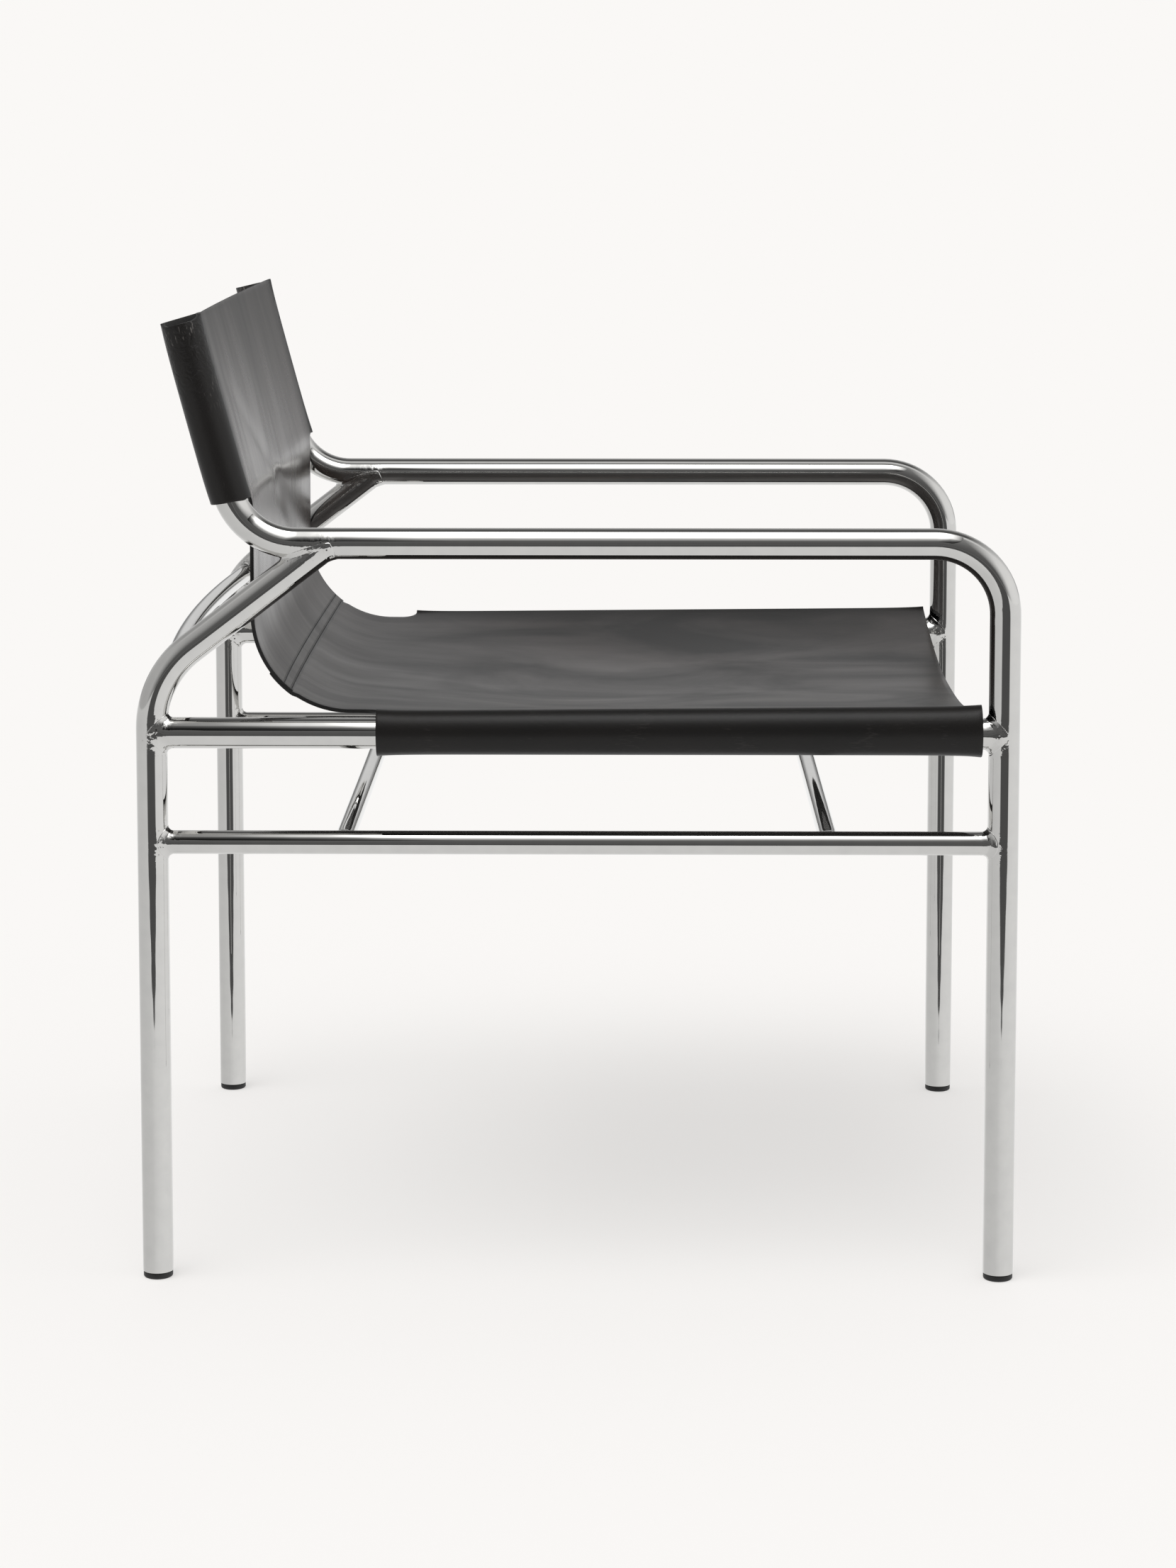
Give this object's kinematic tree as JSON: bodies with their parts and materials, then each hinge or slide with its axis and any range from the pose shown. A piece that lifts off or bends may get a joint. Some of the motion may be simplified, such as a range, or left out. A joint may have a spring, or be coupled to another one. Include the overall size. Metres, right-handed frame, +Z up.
{
  "type": "tubular steel sling armchair",
  "caption": "Low lounge armchair with bent chrome tube side frames on straight legs and a slung black leather seat and back sleeved over the tubes.",
  "frame": {"origin": "on the floor, under the middle of the bounding box, midway between the four legs", "axes": "+Z up; -Y towards the front of the chair, the way the sitter faces; +X towards the sitter's left"},
  "size_m": [0.608, 0.708, 0.7839],
  "materials": {
    "frame_chrome": "polished chrome plating",
    "sling_leather": "waxed black saddle leather, satin",
    "cap_plastic": "matt black",
    "stitch_thread": "waxed black thread"
  },
  "bodies": {
    "root": {"front_tube_right": "frame_chrome", "front_tube_left": "frame_chrome", "rear_tube_right": "frame_chrome", "rear_tube_left": "frame_chrome", "seat_rail_right": "frame_chrome", "seat_rail_left": "frame_chrome", "lower_rail_right": "frame_chrome", "lower_rail_left": "frame_chrome", "cross_tube_rear": "frame_chrome", "cross_tube_front": "frame_chrome", "back_bar": "frame_chrome", "foot_rear_right": "cap_plastic", "foot_rear_left": "cap_plastic", "foot_front_right": "cap_plastic", "foot_front_left": "cap_plastic", "upright_plug_right": "cap_plastic", "upright_plug_left": "cap_plastic", "back_sling": "sling_leather", "seat_sling": "sling_leather", "seam_thread_upper": "stitch_thread", "seam_thread_lower": "stitch_thread", "back_hem_thread_right": "stitch_thread", "back_hem_thread_left": "stitch_thread", "seat_hem_thread_right": "stitch_thread", "seat_hem_thread_left": "stitch_thread"}
  },
  "joints": []
}
